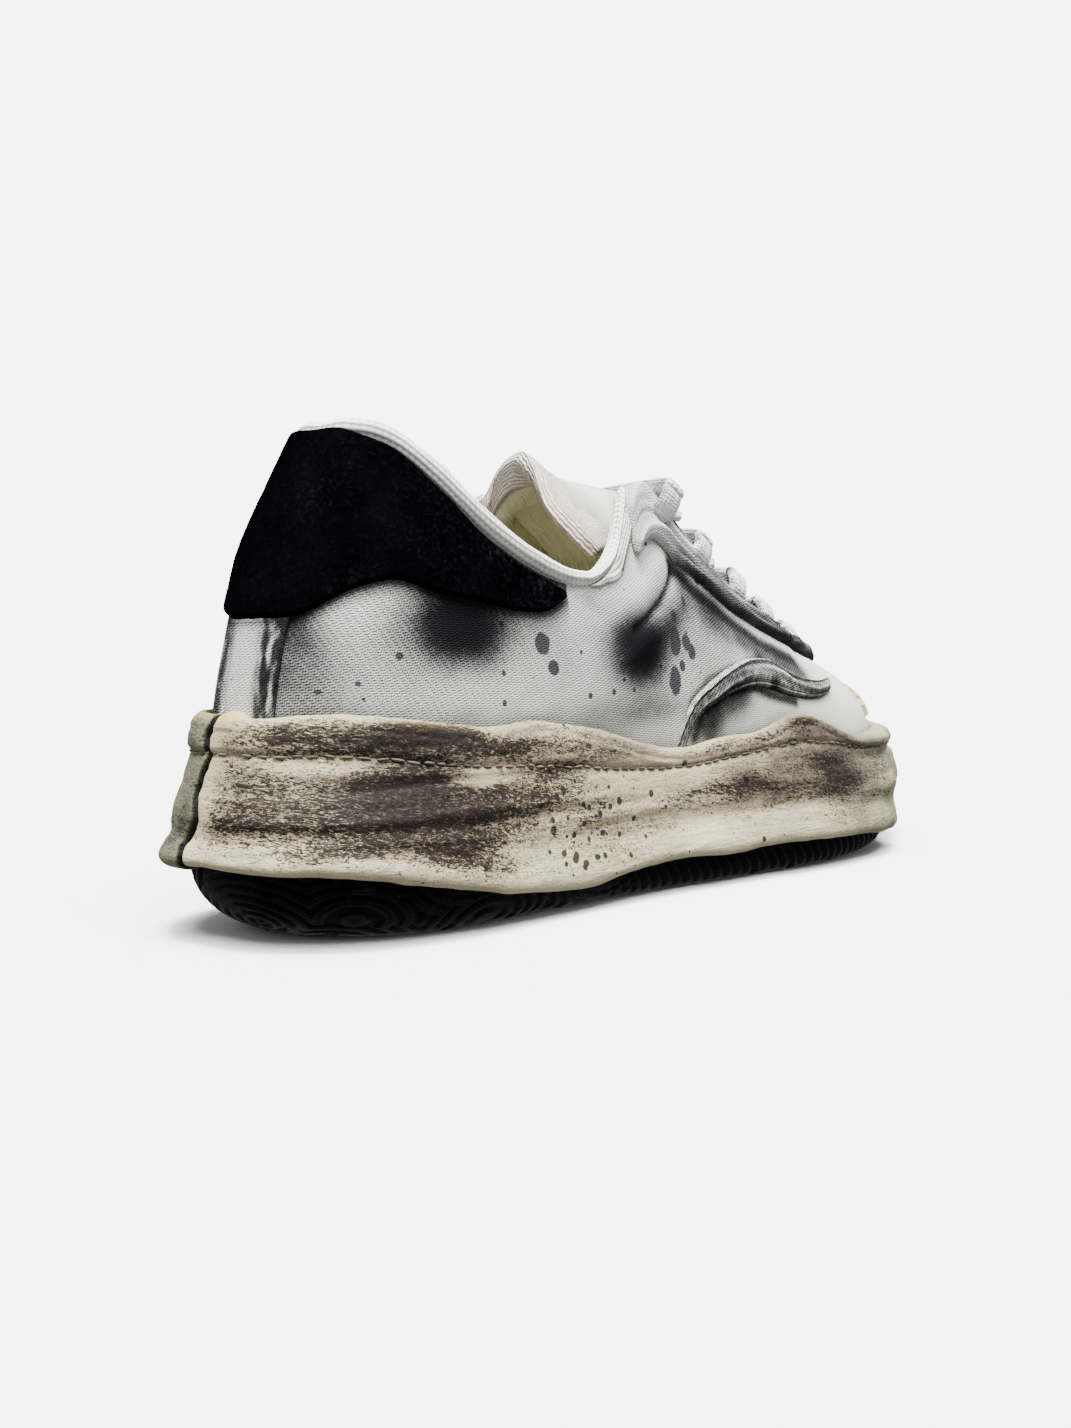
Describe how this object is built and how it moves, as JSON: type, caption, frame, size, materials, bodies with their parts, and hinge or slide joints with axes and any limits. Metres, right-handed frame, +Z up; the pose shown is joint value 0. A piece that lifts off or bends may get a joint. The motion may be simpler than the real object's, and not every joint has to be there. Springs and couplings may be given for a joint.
{
  "type": "sneaker",
  "caption": "Worn low canvas sneaker on a chunky wavy cup sole, with a suede heel tab, padded collar, arched tongue and flat laces.",
  "frame": {"origin": "middle of the bounding box in plan, on the floor the sole rests on", "axes": "+X from heel to toe, +Y towards the inner side of the foot, +Z up out of the collar"},
  "size_m": [0.306, 0.11, 0.1219],
  "materials": {
    "black_rubber": "matte",
    "cream_rubber": "satin, scuffed",
    "canvas": "woven",
    "smudged_canvas": "woven, smudged",
    "suede": "napped",
    "knit": "knitted",
    "lining": "brushed",
    "lace": "woven"
  },
  "bodies": {
    "root": {"outsole": "black_rubber", "cup_sole": "cream_rubber", "insole": "lining", "upper": "canvas", "tongue": "lining", "heel_tab": "suede", "collar_roll": "knit", "facing_outer": "smudged_canvas", "facing_inner": "smudged_canvas", "vamp_band_outer": "smudged_canvas", "vamp_band_inner": "smudged_canvas", "toe_cap": "cream_rubber", "lace_bar": "lace", "lace_crossing_1": "lace", "lace_crossing_2": "lace", "lace_crossing_3": "lace", "lace_crossing_4": "lace", "lace_crossing_5": "lace"}
  },
  "joints": []
}
